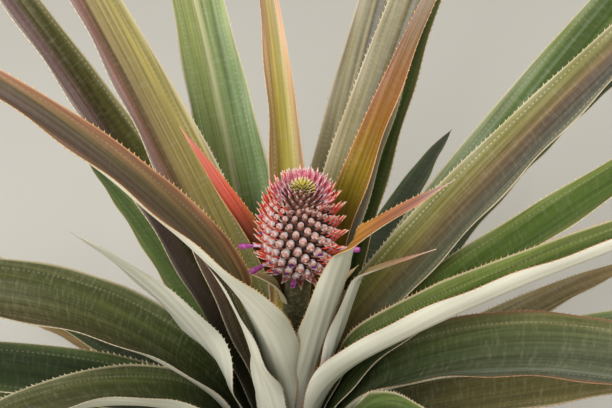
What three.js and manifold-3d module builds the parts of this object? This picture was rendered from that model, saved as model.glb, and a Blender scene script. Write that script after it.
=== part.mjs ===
// Pineapple plant with a young fruit in flower: a short club-shaped stem, a rosette of
// long trough-shaped leaves that clasp it, a flower stalk with a few small red leaves,
// and the fruit. Millimetres, +Z up. The origin is the middle of the flat cut under the
// stem, at ground level. Azimuths are in degrees from +X towards +Y.
import * as THREE from 'three';
import { mergeVertices } from 'three/addons/utils/BufferGeometryUtils.js';
import Module from 'manifold-3d';

const wasm = await Module();
wasm.setup();

const { degToRad, smoothstep, lerp, clamp } = THREE.MathUtils;

// Driving dimensions
const GAP = 0.3;

const STEM_HEIGHT = 282;
const STEM_FOOT_RADIUS = 24;
const STEM_RADIUS = 31;
const STEM_NECK_RADIUS = 13;
const STEM_BULGE_HEIGHT = 95;
const STEM_SHOULDER_HEIGHT = 130;

const LEAF_COUNT = 46;
const INNER_FOOT_HEIGHT = 274;
const OUTER_FOOT_HEIGHT = 42;
const INNER_FOOT_RISE = 80;
const OUTER_FOOT_RISE = 70;
const FOOT_HALF_ANGLE = 34;
const FOOT_THICKNESS = 2.4;
const FOOT_FACET_ROOM = 0.05;
const BLADE_THICKNESS_RATIO = 0.0102;
const TIP_WIDTH = 3;
const TIP_THICKNESS = 1.6;
const TAPER_LENGTH_RATIO = 0.66;
const SHEATH_LENGTH = 95;
const SECTION_SIDES = 8;
const LEAF_STATIONS = 12;
const FOLDED_LEAF_STATIONS = 16;
const STALK_LEAF_STATIONS = 7;
const STATION_CROWDING = 0.45;
const FOLD_HALF_LENGTH = 0.035;
const TIP_CLOSING = 0.35;
const GOLDEN_ANGLE = 137.508;

const STALK_RADIUS = 11;
const FRUIT_BASE = new THREE.Vector3(10.5, 0, 424);
const FRUIT_LEAN = 2;
const FRUIT_HEIGHT = 96;
const FRUIT_RADIUS = 31;
const FRUITLETS = 150;
const FRUITLET_CROWDING = 0.85;
const FRUITLET_SIZE = 6;
const FRUITLET_SINK = 2;
const BRACT_LENGTH = 13;
const FLOWER_LENGTH = 12;
const FLOWER_MOUTH_RADIUS = 3.4;
const FLOWER_FOOT_RADIUS = 2;
const CROWN_BLADES = 7;
const CROWN_BLADE_LENGTH = 20;
const CROWN_BLADE_RADIUS = 2.6;
const CROWN_LEAN = 6;
const CROWN_LEAN_STEP = 4;
const CROWN_SINK = 13;

const MATERIALS = {
  stem: { color: 0x6f6248, roughness: 0.9, metalness: 0 },
  stalk: { color: 0x7d7a55, roughness: 0.7, metalness: 0 },
  leaf: { color: 0x66704a, roughness: 0.6, metalness: 0 },
  innerLeaf: { color: 0x9c6a4c, roughness: 0.6, metalness: 0 },
  oldLeaf: { color: 0x7a6a4a, roughness: 0.8, metalness: 0 },
  bract: { color: 0xc4523c, roughness: 0.6, metalness: 0 },
  fruit: { color: 0xb98283, roughness: 0.8, metalness: 0 },
};

// The leaves round the fruit, from the innermost foot down. Rise is the blade's climb in
// degrees above the clasping sheath and tip the climb at its end, and a larger bend keeps
// the arch for the blade's outer half. Roll turns the blade about its own length, curl is
// half the angle that its section wraps through, and sweep swings it sideways. A fold
// bends the blade down and round part of the way along.
const ROSETTE = [
  { az: 44, length: 450, width: 36, rise: 71, tip: 54 },
  { az: 312, length: 356, width: 50, rise: 82.5, tip: 70, curl: 42, bend: 1,
    fold: { at: 0.7, drop: 25, turn: 35 } },
  { az: 89, length: 490, width: 42, rise: 78, tip: 39, roll: 22, curl: 50, bend: 1.9, sweep: 14 },
  { az: 254, length: 640, width: 57, rise: 78, tip: 38.5, roll: -27, curl: 83, sweep: -57.5 },
  { az: 57, length: 700, width: 52, rise: 64, tip: 45, sweep: -3 },
  { az: 336, length: 285, width: 32, rise: 82, tip: 74, roll: -18, curl: 45,
    fold: { at: 0.74, drop: 38, turn: 8 } },
  { az: 137, length: 760, width: 68, rise: 60, tip: 33, roll: 10, curl: 46, bend: 1.5, sweep: -2 },
  { az: 325, length: 760, width: 68, rise: 55, tip: 34, roll: -10, curl: 80, bend: 1.5, sweep: 8.5 },
  { az: 245.5, length: 338, width: 36, rise: 86, tip: 64, roll: -29, curl: 43, sweep: -17.5 },
  { az: 18, length: 760, width: 68, rise: 54, tip: 38 },
  { az: 148, length: 760, width: 60, rise: 60, tip: 38, roll: 12 },
  { az: 70, length: 700, width: 52, rise: 62, tip: 45, sweep: -6 },
  { az: 2, length: 680, width: 60, rise: 51, tip: 34 },
  { az: 180, length: 332, width: 50, rise: 70.5, tip: 46, roll: 56, curl: 34, bend: 2, sweep: 12 },
  { az: 59, length: 600, width: 50, rise: 61, tip: 45 },
  { az: 348, length: 720, width: 73, rise: 47, tip: -17, roll: 29, curl: 62, bend: 1.5, sweep: -32 },
  { az: 110, length: 760, width: 68, rise: 60, tip: 40 },
  { az: 182, length: 720, width: 72, rise: 55, tip: -22, roll: -30, curl: 62, bend: 1.8, sweep: 34 },
  { az: 34, length: 760, width: 64, rise: 53, tip: 31 },
  { az: 202, length: 600, width: 72, rise: 48, tip: -32, roll: 15, curl: 60, bend: 2, sweep: 33 },
  { az: 308, length: 540, width: 64, rise: 63, tip: -37, roll: 35, curl: 60, bend: 2.1, sweep: -15 },
  { az: 190, length: 620, width: 62, rise: 39, tip: -6, roll: -10 },
  { az: 346, length: 600, width: 60, rise: 36, tip: 14, roll: 10 },
];
const INNER_LEAVES = 3;

// The old leaves under them, from the youngest of them to the oldest
const OLD_LEAVES = {
  firstAzimuth: 270,
  length: [660, 470],
  width: [60, 50],
  rise: [30, 2],
  tip: [-8, -22],
  lengthChange: 40,
  tipChange: 6,
  rollChange: 8,
};
const FIRST_DRY_LEAF = 36;

// The small red leaves on the flower stalk
const STALK_LEAF_HABIT = { sheath: 18, curl: 45, footRise: 78 };
const STALK_LEAVES = [
  { az: 148, foot: 388, length: 172, width: 24, rise: 56, tip: 50 },
  { az: 10, foot: 345, length: 88, width: 18, rise: 66, tip: 48 },
  { az: 75, foot: 362, length: 88, width: 18, rise: 58, tip: 48 },
  { az: 200, foot: 395, length: 72, width: 15, rise: 56, tip: 30 },
];

// The open flowers on the lower half of the fruit, by azimuth and share of its height
const FLOWERS = [
  { az: 182, height: 0.32 },
  { az: 212, height: 0.26 },
  { az: 268, height: 0.2 },
  { az: 326, height: 0.28 },
  { az: 356, height: 0.4 },
  { az: 38, height: 0.3 },
  { az: 92, height: 0.34 },
  { az: 140, height: 0.28 },
];

function stemRadius(z) {
  const bulge = lerp(STEM_FOOT_RADIUS, STEM_RADIUS, smoothstep(z, 0, STEM_BULGE_HEIGHT));
  const down = clamp((STEM_HEIGHT - z) / (STEM_HEIGHT - STEM_SHOULDER_HEIGHT), 0, 1);
  return lerp(STEM_NECK_RADIUS, bulge, down ** 0.8);
}

// The old leaves lower on the stem turn by the golden angle and lie ever flatter.
function oldLeaf(rank) {
  const age = (rank - ROSETTE.length) / (LEAF_COUNT - 1 - ROSETTE.length);
  const aged = ([youngest, oldest]) => lerp(youngest, oldest, age);
  return {
    az: (OLD_LEAVES.firstAzimuth + GOLDEN_ANGLE * (rank - ROSETTE.length)) % 360,
    length: aged(OLD_LEAVES.length) + OLD_LEAVES.lengthChange * Math.sin(2.3 * rank),
    width: aged(OLD_LEAVES.width),
    rise: aged(OLD_LEAVES.rise),
    tip: aged(OLD_LEAVES.tip) + OLD_LEAVES.tipChange * Math.sin(1.7 * rank),
    roll: OLD_LEAVES.rollChange * Math.sin(3.1 * rank),
  };
}

function leafAt(rank) {
  const row = rank < ROSETTE.length ? ROSETTE[rank] : oldLeaf(rank);
  const down = rank / (LEAF_COUNT - 1);
  const foot = lerp(INNER_FOOT_HEIGHT, OUTER_FOOT_HEIGHT, down ** 0.85);
  const footRise = lerp(INNER_FOOT_RISE, OUTER_FOOT_RISE, down);
  return completeLeaf({ ...row, foot, footRise, core: stemRadius(foot) });
}

function completeLeaf(row) {
  const leaf = { roll: 0, curl: 38, sweep: 0, bend: 1.3, sheath: SHEATH_LENGTH, axisX: 0, ...row };
  leaf.footRadius = leaf.core + GAP + FOOT_THICKNESS / 2 + FOOT_FACET_ROOM * leaf.core;
  return leaf;
}

// The climb and heading of the midrib, in degrees, at a distance along it
function climb(leaf, along) {
  const t = along / leaf.length;
  const blade = leaf.rise + (leaf.tip - leaf.rise) * t ** leaf.bend;
  const sheath = (leaf.footRise - leaf.rise) * (1 - smoothstep(along, 0, 2 * leaf.sheath));
  return blade + sheath - folded(leaf, t) * (leaf.fold ? leaf.fold.drop : 0);
}

function heading(leaf, along) {
  const t = along / leaf.length;
  const turn = folded(leaf, t) * (leaf.fold ? leaf.fold.turn : 0);
  return leaf.az + leaf.sweep * smoothstep(t, 0.05, 0.7) + turn;
}

function folded(leaf, t) {
  if (!leaf.fold) {
    return 0;
  }
  return smoothstep(t, leaf.fold.at - FOLD_HALF_LENGTH, leaf.fold.at + FOLD_HALF_LENGTH);
}

// Walks the midrib from the foot, and gives its point and its frame at each step.
function midrib(leaf, steps = 200) {
  const step = leaf.length / steps;
  const first = degToRad(leaf.az);
  const point = new THREE.Vector3(
    leaf.axisX + leaf.footRadius * Math.cos(first), leaf.footRadius * Math.sin(first), leaf.foot);
  const frames = [];
  for (let i = 0; i <= steps; i += 1) {
    const up = degToRad(climb(leaf, i * step));
    const out = degToRad(heading(leaf, i * step));
    const ahead = new THREE.Vector3(
      Math.cos(up) * Math.cos(out), Math.cos(up) * Math.sin(out), Math.sin(up));
    const side = new THREE.Vector3(-Math.sin(out), Math.cos(out), 0);
    const over = new THREE.Vector3().crossVectors(ahead, side);
    const roll = degToRad(leaf.roll) * smoothstep(i * step, leaf.sheath, 0.5 * leaf.length);
    frames.push({
      point: point.clone(),
      side: side.clone().multiplyScalar(Math.cos(roll)).addScaledVector(over, Math.sin(roll)),
      over: over.clone().multiplyScalar(Math.cos(roll)).addScaledVector(side, -Math.sin(roll)),
    });
    point.addScaledVector(ahead, step);
  }
  return frames;
}

function bladeWidth(leaf, along) {
  const t = along / leaf.length;
  const footWidth = 2 * degToRad(FOOT_HALF_ANGLE) * leaf.footRadius;
  const full = lerp(footWidth, leaf.width, smoothstep(along, 0, 1.6 * leaf.sheath));
  const taper = clamp((1 - t) / TAPER_LENGTH_RATIO, 0, 1) ** 0.8;
  return Math.max(TIP_WIDTH, full * taper);
}

function bladeThickness(leaf, along) {
  const t = along / leaf.length;
  const blade = Math.max(BLADE_THICKNESS_RATIO * leaf.length, FOOT_THICKNESS);
  const grown = lerp(FOOT_THICKNESS, blade, smoothstep(along, leaf.sheath, 0.4 * leaf.length));
  return lerp(grown, TIP_THICKNESS, smoothstep(t, 0.7, 1));
}

// The section's radius follows the stem's axis at the foot and is the blade's own beyond.
function sectionRadius(leaf, along, point) {
  const t = along / leaf.length;
  const fromAxis = Math.hypot(point.x - leaf.axisX, point.y);
  const blade = leaf.width / 2 / degToRad(leaf.curl);
  const own = smoothstep(fromAxis, 0.7 * blade, 2 * blade);
  const open = lerp(Math.min(fromAxis, 1.4 * blade), blade, own);
  return open * (1 - TIP_CLOSING * smoothstep(t, 0.4, 1));
}

// A leaf starts as a straight bar of eight sides. Each of its corners is then carried to
// its place on the curled section, a lens from margin to margin, and along the midrib.
function leafSolid(leaf, stations) {
  const bar = new THREE.CylinderGeometry(1, 1, 1, SECTION_SIDES, stations);
  bar.deleteAttribute('normal');
  bar.deleteAttribute('uv');
  const solid = mergeVertices(bar);
  const corners = solid.attributes.position;
  const frames = midrib(leaf);
  for (let i = 0; i < corners.count; i += 1) {
    const part = corners.getY(i) + 0.5;
    const along = leaf.length * lerp(part, part * part, STATION_CROWDING);
    const frame = frames[Math.round((along / leaf.length) * (frames.length - 1))];
    const radius = sectionRadius(leaf, along, frame.point);
    const angle = -corners.getX(i) * (bladeWidth(leaf, along) / 2 / radius);
    const lift = corners.getZ(i) * (bladeThickness(leaf, along) / 2);
    const place = frame.point.clone();
    place.addScaledVector(frame.side, (radius - lift) * Math.sin(angle));
    place.addScaledVector(frame.over, radius - (radius - lift) * Math.cos(angle));
    corners.setXYZ(i, place.x, place.y, place.z);
  }
  return solid;
}

function stemSolid() {
  const rings = 12;
  const profile = [new THREE.Vector2(0, 0)];
  for (let i = 0; i <= rings; i += 1) {
    const z = (STEM_HEIGHT * i) / rings;
    profile.push(new THREE.Vector2(stemRadius(z), z));
  }
  profile.push(new THREE.Vector2(0, STEM_HEIGHT));
  return new THREE.LatheGeometry(profile, 24).rotateX(Math.PI / 2);
}

// The flower stalk rises from the stem and bends over into the fruit's axis.
function stalkRoute() {
  const lean = degToRad(FRUIT_LEAN);
  const foot = new THREE.Vector3(0, 0, STEM_HEIGHT + GAP);
  const axis = new THREE.Vector3(Math.sin(lean), 0, Math.cos(lean));
  const head = FRUIT_BASE.clone().addScaledVector(axis, -GAP);
  const knee = head.clone().addScaledVector(axis, -0.4 * (head.z - foot.z));
  const ankle = new THREE.Vector3(0, 0, lerp(foot.z, head.z, 0.3));
  return new THREE.CubicBezierCurve3(foot, ankle, knee, head);
}

function stalkCentre(height) {
  return stalkRoute().getPoints(100).find((point) => point.z >= height);
}

function stalkSolid() {
  const round = new THREE.Shape().absarc(0, 0, STALK_RADIUS, 0, 2 * Math.PI);
  return new THREE.ExtrudeGeometry(round, { steps: 8, curveSegments: 8, extrudePath: stalkRoute() });
}

// The fruit in its own frame, with its base at the origin: height is from 0 to 1
function fruitRadius(height) {
  const swell = 1 - Math.abs(2 * height ** 0.93 - 1) ** 2.3;
  return FRUIT_RADIUS * Math.sqrt(Math.max(swell, 0));
}

function fruitCore() {
  const rings = 14;
  const profile = [new THREE.Vector2(0, 0)];
  for (let i = 0; i < rings; i += 1) {
    const height = i / rings;
    const radius = Math.max(fruitRadius(height), STALK_RADIUS + 1);
    profile.push(new THREE.Vector2(radius, height * FRUIT_HEIGHT));
  }
  profile.push(new THREE.Vector2(0, FRUIT_HEIGHT));
  return new THREE.LatheGeometry(profile, 20).rotateX(Math.PI / 2);
}

// The fruitlets climb a spiral, and the upper ones, which are younger, sit closer together.
function fruitletFrame(k) {
  const height = 0.04 + 0.93 * ((k + 0.5) / FRUITLETS) ** FRUITLET_CROWDING;
  const around = degToRad(GOLDEN_ANGLE * k);
  const slope = (fruitRadius(height + 0.01) - fruitRadius(height - 0.01)) / (0.02 * FRUIT_HEIGHT);
  const tilt = Math.atan(-slope);
  const radius = fruitRadius(height);
  const out = new THREE.Vector3(
    Math.cos(tilt) * Math.cos(around), Math.cos(tilt) * Math.sin(around), Math.sin(tilt));
  const place = new THREE.Vector3(
    radius * Math.cos(around), radius * Math.sin(around), height * FRUIT_HEIGHT);
  return { place, out, height };
}

function turnedTo(geometry, direction) {
  const turn = new THREE.Quaternion().setFromUnitVectors(new THREE.Vector3(0, 1, 0), direction);
  return geometry.applyQuaternion(turn);
}

// One fruitlet: a shield of five sides that runs up into the point of its bract
function fruitletSolid(k) {
  const { place, out, height } = fruitletFrame(k);
  const up = new THREE.Vector3(0, 0, lerp(0.35, 0.9, height));
  const aim = out.clone().add(up).normalize();
  const length = BRACT_LENGTH * lerp(1, 0.8, height);
  const shield = new THREE.ConeGeometry(FRUITLET_SIZE, length, 5).translate(0, length / 2, 0);
  const seat = place.clone().addScaledVector(out, -FRUITLET_SINK);
  return turnedTo(shield, aim).translate(seat.x, seat.y, seat.z);
}

function crownSolids() {
  const blades = [];
  for (let k = 0; k < CROWN_BLADES; k += 1) {
    const around = degToRad(GOLDEN_ANGLE * k);
    const lean = degToRad(CROWN_LEAN + CROWN_LEAN_STEP * k);
    const aim = new THREE.Vector3(
      Math.sin(lean) * Math.cos(around), Math.sin(lean) * Math.sin(around), Math.cos(lean));
    const length = CROWN_BLADE_LENGTH - k;
    const blade = new THREE.ConeGeometry(CROWN_BLADE_RADIUS, length, 4);
    blade.translate(0, length / 2, 0);
    blades.push(turnedTo(blade, aim).translate(0, 0, FRUIT_HEIGHT - CROWN_SINK));
  }
  return blades;
}

// An open flower: a slim tube that stands out from the side of the fruit
function flowerSolid({ az, height }) {
  const around = degToRad(az);
  const aim = new THREE.Vector3(Math.cos(around), Math.sin(around), 0.35).normalize();
  const reach = fruitRadius(height) + FLOWER_LENGTH;
  const tube = new THREE.CylinderGeometry(FLOWER_MOUTH_RADIUS, FLOWER_FOOT_RADIUS, reach, 5);
  tube.translate(0, reach / 2, 0);
  return turnedTo(tube, aim).translate(0, 0, height * FRUIT_HEIGHT);
}

function toManifold(geometry) {
  const plain = geometry.clone();
  plain.deleteAttribute('normal');
  plain.deleteAttribute('uv');
  const merged = mergeVertices(plain, 1e-3);
  return new wasm.Manifold(new wasm.Mesh({
    numProp: 3,
    vertProperties: new Float32Array(merged.attributes.position.array),
    triVerts: new Uint32Array(merged.index.array),
  }));
}

function fuse(geometries) {
  let whole = toManifold(geometries[0]);
  for (const geometry of geometries.slice(1)) {
    whole = whole.add(toManifold(geometry));
  }
  const mesh = whole.getMesh();
  const fused = new THREE.BufferGeometry();
  fused.setAttribute('position', new THREE.BufferAttribute(new Float32Array(mesh.vertProperties), 3));
  fused.setIndex(new THREE.BufferAttribute(new Uint32Array(mesh.triVerts), 1));
  return fused;
}

function fruitSolid() {
  const pieces = [fruitCore(), ...crownSolids(), ...FLOWERS.map(flowerSolid)];
  for (let k = 0; k < FRUITLETS; k += 1) {
    pieces.push(fruitletSolid(k));
  }
  return fuse(pieces);
}

function piece(name, geometry, look) {
  const mesh = new THREE.Mesh(geometry, new THREE.MeshStandardMaterial(MATERIALS[look]));
  mesh.name = name;
  return mesh;
}

function leafLook(rank) {
  if (rank < INNER_LEAVES) {
    return 'innerLeaf';
  }
  return rank < FIRST_DRY_LEAF ? 'leaf' : 'oldLeaf';
}

const plant = new THREE.Group();
plant.add(piece('stem', stemSolid(), 'stem'));
plant.add(piece('flower_stalk', stalkSolid(), 'stalk'));

for (let rank = 0; rank < LEAF_COUNT; rank += 1) {
  const leaf = leafAt(rank);
  const stations = leaf.fold ? FOLDED_LEAF_STATIONS : LEAF_STATIONS;
  const name = `leaf_${String(rank + 1).padStart(2, '0')}`;
  plant.add(piece(name, leafSolid(leaf, stations), leafLook(rank)));
}

STALK_LEAVES.forEach((row, i) => {
  const axisX = stalkCentre(row.foot).x;
  const leaf = completeLeaf({ ...STALK_LEAF_HABIT, ...row, axisX, core: STALK_RADIUS + 1 });
  plant.add(piece(`stalk_leaf_${i + 1}`, leafSolid(leaf, STALK_LEAF_STATIONS), 'bract'));
});

const fruit = piece('fruit', fruitSolid(), 'fruit');
fruit.position.copy(FRUIT_BASE);
fruit.rotation.y = degToRad(FRUIT_LEAN);
plant.add(fruit);

export default plant;
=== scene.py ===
# %% [markdown]
# A pineapple plant in flower. The imported solids of the plant are the fixed frame, in metres,
# with the origin at ground level under the stem. This lesson grows the fine surface round
# them: each leaf with its spines, the scarred stem, the stalk, and the fruit with its
# fruitlets, bracts, flowers and crown.

# %% Load the frame
import math

import bpy
import numpy as np
from mathutils import Matrix, Vector
from mathutils.geometry import interpolate_bezier


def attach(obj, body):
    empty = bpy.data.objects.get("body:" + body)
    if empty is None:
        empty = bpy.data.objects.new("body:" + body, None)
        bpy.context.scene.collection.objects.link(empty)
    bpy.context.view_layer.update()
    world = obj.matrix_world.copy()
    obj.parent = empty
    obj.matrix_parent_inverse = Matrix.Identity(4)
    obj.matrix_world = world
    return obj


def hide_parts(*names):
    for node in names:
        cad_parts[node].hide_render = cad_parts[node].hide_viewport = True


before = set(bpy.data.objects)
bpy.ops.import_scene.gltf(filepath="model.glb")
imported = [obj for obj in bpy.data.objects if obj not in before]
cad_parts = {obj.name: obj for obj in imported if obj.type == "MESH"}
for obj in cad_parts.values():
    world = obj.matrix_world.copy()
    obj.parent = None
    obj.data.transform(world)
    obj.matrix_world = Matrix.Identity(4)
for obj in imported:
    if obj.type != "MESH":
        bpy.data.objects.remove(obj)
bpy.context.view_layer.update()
MM = 0.001

# %% [markdown]
# The plant is photographed from above and in front, from about a metre away, so the rosette
# runs out of the picture on every side. The camera looks along +Y and down. Its lens follows
# from the picture's width and from the distance at which the fruit has its real size. The
# picture keeps its own contrast, so the plain standard view is used.

# %% Camera
IMAGE_WIDTH = 612
FOCAL_PIXELS = 1250
SENSOR = 36
ELEVATION = math.radians(42)
DISTANCE = 1.0
AIM = Vector((0.0164, 0.0139, 0.4855))


def in_scene(name, data):
    made = bpy.data.objects.new(name, data)
    bpy.context.scene.collection.objects.link(made)
    return made


camera_data = bpy.data.cameras.new("photo_camera")
camera = in_scene("photo_camera", camera_data)
camera_data.sensor_width = SENSOR
camera_data.lens = FOCAL_PIXELS * SENSOR / IMAGE_WIDTH
camera.location = AIM + DISTANCE * Vector((0, -math.cos(ELEVATION), math.sin(ELEVATION)))
camera.rotation_euler = (math.pi / 2 - ELEVATION, 0, 0)
bpy.context.scene.camera = camera
bpy.context.scene.view_settings.view_transform = "Standard"
print("camera stands at", [round(v, 3) for v in camera.location])

# %% [markdown]
# The finishes are node materials. Colours are written as sRGB values, as on a colour chart,
# and one function turns them to the linear values that the shader wants. One more function
# adds a node, sets it and links it, so that a material reads as a short recipe. Streaks are
# noise that is drawn out along the leaf, and the coat joins a colour and a fine relief to the
# shader.

# %% Words for the finishes
def linear(colour):
    channels = [int(colour[i:i + 2], 16) / 255 for i in (1, 3, 5)]
    return (*[c / 12.92 if c <= 0.04045 else ((c + 0.055) / 1.055) ** 2.4 for c in channels], 1)


def node(tree, kind, settings=None, links=None):
    made = tree.nodes.new("ShaderNode" + kind)
    for name, value in (settings or {}).items():
        if name == "stops":
            elements = made.color_ramp.elements
            while len(elements) < len(value):
                elements.new(1)
            for element, (position, colour) in zip(elements, value):
                element.position = position
                element.color = linear(colour)
        elif isinstance(name, str) and hasattr(made, name):
            setattr(made, name, value)
        else:
            made.inputs[name].default_value = value
    for name, source in (links or {}).items():
        socket = source.outputs[0] if hasattr(source, "outputs") else source
        tree.links.new(socket, made.inputs[name])
    return made


def new_finish(name, roughness):
    material = bpy.data.materials.new(name)
    material.use_nodes = True
    shader = material.node_tree.nodes["Principled BSDF"]
    shader.inputs["Roughness"].default_value = roughness
    return material, material.node_tree, shader


def streaks(tree, metres, scale, settings):
    stretched = node(tree, "Mapping", {"Scale": scale}, {"Vector": metres})
    return node(tree, "TexNoise", {"Scale": 1, **settings}, {"Vector": stretched})


def coat(tree, shader, colour, relief, strength, depth):
    tree.links.new(colour, shader.inputs["Base Color"])
    bump = node(tree, "Bump", {"Strength": strength, "Distance": depth * MM}, {"Height": relief})
    tree.links.new(bump.outputs[0], shader.inputs["Normal"])


# %% [markdown]
# The upper side of a pineapple leaf is smooth and waxy, so it shines softly. It is olive to
# green, with a band of purple or brown that the sun brings out, fine lines all along it,
# flecks of grey scales across it, and a pale horny edge. Each leaf carries two measures of
# its own: where a point lies across and along the blade, from 0 to 1, and how far it is from
# the midrib and the foot in metres. The bands read the first, and the lines read the second,
# so they run along the blade however it bends. Real lines are under a millimetre apart. They
# are drawn at 2.4 mm, or they would not show. In the bud, the neighbours' spines press a
# dotted line into a leaf a little inside its edges, and it stays there as pale dots. The
# foot of each leaf is mixed towards dark green as painted shade, for the shade between leaves.

# %% The upper side of a leaf
LINE_SPACING = 2.4 * MM
BAND_SPACING = 9 * MM
FLECK_WIDTH = 12 * MM
FLECK_LENGTH = 3 * MM
DOT_SPACING = 4.4 * MM
BAND_SHIFT = 0.09
NOISE_LOW, NOISE_HIGH = 0.3, 0.7
LINE_DARK, LINE_LIGHT = 0.58, 1.34
BAND_DARK, BAND_LIGHT = 0.84, 1.16
FLECK_LOW, FLECK_HIGH = 0.5, 0.75
# painted shade: the span along the blade, from its foot, that is darkened
FOOT_SHADE_END, FOOT_SHADE_FADE = 0.12, 0.34
RIM_START, RIM_END, RIM_SHARE = 0.468, 0.492, 0.75
ROW_EDGE, ROW_CORE = 0.016, 0.006
DOT_LOW, DOT_HIGH = -0.2, 0.5
SCURF = linear("#b3ac94")
DOT = linear("#d6ccb0")
EDGE = "#c9bd98"
# painted shade: the dark green that the foot of a leaf is mixed towards
FOOT_SHADE_COLOUR = linear("#2c3816")


def leaf_finish(name, across, along=None, along_share=0.0, edge=EDGE, fleck=0.2, foot=0.8, dots=0.36,
                dot_share=0.15, roughness=0.46):
    material, tree, shader = new_finish(name, roughness)
    place = node(tree, "Attribute", {"attribute_name": "across"}).outputs["Fac"]
    length = node(tree, "Attribute", {"attribute_name": "along"}).outputs["Fac"]
    metres = node(tree, "Attribute", {"attribute_name": "metres"}).outputs["Vector"]
    waver = streaks(tree, metres, (1 / BAND_SPACING, 4, 1), {"Detail": 2})
    shift = node(tree, "MapRange", {"To Min": -BAND_SHIFT, "To Max": BAND_SHIFT}, {0: waver})
    moved = node(tree, "Math", {"operation": "ADD"}, {0: place, 1: shift})
    colour = node(tree, "ValToRGB", {"stops": across}, {0: moved})
    if along:
        ramp = node(tree, "ValToRGB", {"stops": along}, {0: length})
        mixed = node(tree, "Mix", {"data_type": "RGBA", 0: along_share}, {6: colour, 7: ramp})
        colour = mixed.outputs[2]
    # painted shade: the lower part of the blade is mixed towards dark green, by the share foot
    low = node(tree, "MapRange", {1: FOOT_SHADE_END, 2: FOOT_SHADE_FADE, 3: foot, 4: 0}, {0: length})
    shaded = node(tree, "Mix", {"data_type": "RGBA", 7: FOOT_SHADE_COLOUR}, {0: low, 6: colour}).outputs[2]

    lines = streaks(tree, metres, (1 / LINE_SPACING, 7, 1), {"Detail": 3, "Roughness": 0.6})
    light = node(tree, "MapRange", {1: NOISE_LOW, 2: NOISE_HIGH, 3: LINE_DARK, 4: LINE_LIGHT}, {0: lines})
    lined = node(tree, "VectorMath", {"operation": "SCALE"}, {0: shaded, "Scale": light})
    bands = node(tree, "MapRange", {1: NOISE_LOW, 2: NOISE_HIGH, 3: BAND_DARK, 4: BAND_LIGHT}, {0: waver})
    banded = node(tree, "VectorMath", {"operation": "SCALE"}, {0: lined, "Scale": bands})

    flecks = streaks(tree, metres, (1 / FLECK_WIDTH, 1 / FLECK_LENGTH, 1), {"Detail": 4, "Roughness": 0.7})
    dusty = node(tree, "MapRange", {1: FLECK_LOW, 2: FLECK_HIGH, 3: 0, 4: fleck}, {0: flecks})
    dusted = node(tree, "Mix", {"data_type": "RGBA", 7: SCURF}, {0: dusty, 6: banded}).outputs[2]

    from_middle = node(tree, "Math", {"operation": "SUBTRACT", 1: 0.5}, {0: place})
    from_middle = node(tree, "Math", {"operation": "ABSOLUTE"}, {0: from_middle})
    rim = node(tree, "MapRange", {1: RIM_START, 2: RIM_END, 3: 0, 4: RIM_SHARE}, {0: from_middle})
    edged = node(tree, "Mix", {"data_type": "RGBA", 7: linear(edge)}, {0: rim, 6: dusted}).outputs[2]

    off_row = node(tree, "Math", {"operation": "SUBTRACT", 1: dots}, {0: from_middle})
    off_row = node(tree, "Math", {"operation": "ABSOLUTE"}, {0: off_row})
    on_row = node(tree, "MapRange", {1: ROW_EDGE, 2: ROW_CORE, 3: 0, 4: dot_share}, {0: off_row})
    step = node(tree, "SeparateXYZ", links={0: metres}).outputs[1]
    step = node(tree, "Math", {"operation": "MULTIPLY", 1: 2 * math.pi / DOT_SPACING}, {0: step})
    step = node(tree, "Math", {"operation": "SINE"}, {0: step})
    dot = node(tree, "MapRange", {1: DOT_LOW, 2: DOT_HIGH, 3: 0, 4: 1}, {0: step})
    dot = node(tree, "Math", {"operation": "MULTIPLY"}, {0: dot, 1: on_row})
    dotted = node(tree, "Mix", {"data_type": "RGBA", 7: DOT}, {0: dot, 6: edged}).outputs[2]
    coat(tree, shader, dotted, lines, 0.5, 0.5)
    return material


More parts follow.
